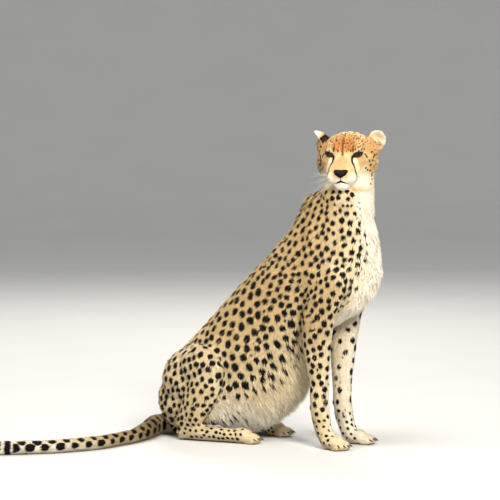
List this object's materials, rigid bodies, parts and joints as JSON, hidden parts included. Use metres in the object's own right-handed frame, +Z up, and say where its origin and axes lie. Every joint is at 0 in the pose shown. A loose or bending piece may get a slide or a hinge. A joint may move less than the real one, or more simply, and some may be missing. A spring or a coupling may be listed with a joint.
{
  "type": "life-size cheetah model, sitting",
  "caption": "Life-size still model of a cheetah sitting upright on its haunches, head turned to its right, tail laid along the floor; for display.",
  "frame": {"origin": "middle of the bounding box's underside, on the floor", "axes": "+X the way the body faces, +Y the animal's left, +Z up"},
  "size_m": [1.0042, 0.9312, 0.9766],
  "materials": {
    "coat": "short golden-tan fur with solid black spots, paler below and white on the throat, chest and belly",
    "nose": "bare black nose leather, finely pebbled and slightly moist",
    "eye": "moist amber-brown eye under a clear cornea",
    "claw": "dark horn, smooth"
  },
  "bodies": {
    "root": {"abdomen": "coat", "chest": "coat", "claw_dew_left": "claw", "claw_dew_right": "claw", "claw_fore_left_1": "claw", "claw_fore_left_2": "claw", "claw_fore_left_3": "claw", "claw_fore_left_4": "claw", "claw_fore_right_1": "claw", "claw_fore_right_2": "claw", "claw_fore_right_3": "claw", "claw_fore_right_4": "claw", "claw_hind_left_1": "claw", "claw_hind_left_2": "claw", "claw_hind_left_3": "claw", "claw_hind_left_4": "claw", "claw_hind_right_1": "claw", "claw_hind_right_2": "claw", "claw_hind_right_3": "claw", "claw_hind_right_4": "claw", "ear_left": "coat", "ear_right": "coat", "eye_left": "eye", "eye_right": "eye", "forearm_left": "coat", "forearm_right": "coat", "forefoot_left": "coat", "forefoot_right": "coat", "head": "coat", "hindfoot_left": "coat", "hindfoot_right": "coat", "neck": "coat", "nose": "nose", "rump": "coat", "shank_left": "coat", "shank_right": "coat", "tail_1": "coat", "tail_2": "coat", "tail_3": "coat", "tail_4": "coat", "tail_5": "coat", "thigh_left": "coat", "thigh_right": "coat", "upper_arm_left": "coat", "upper_arm_right": "coat"}
  },
  "joints": []
}
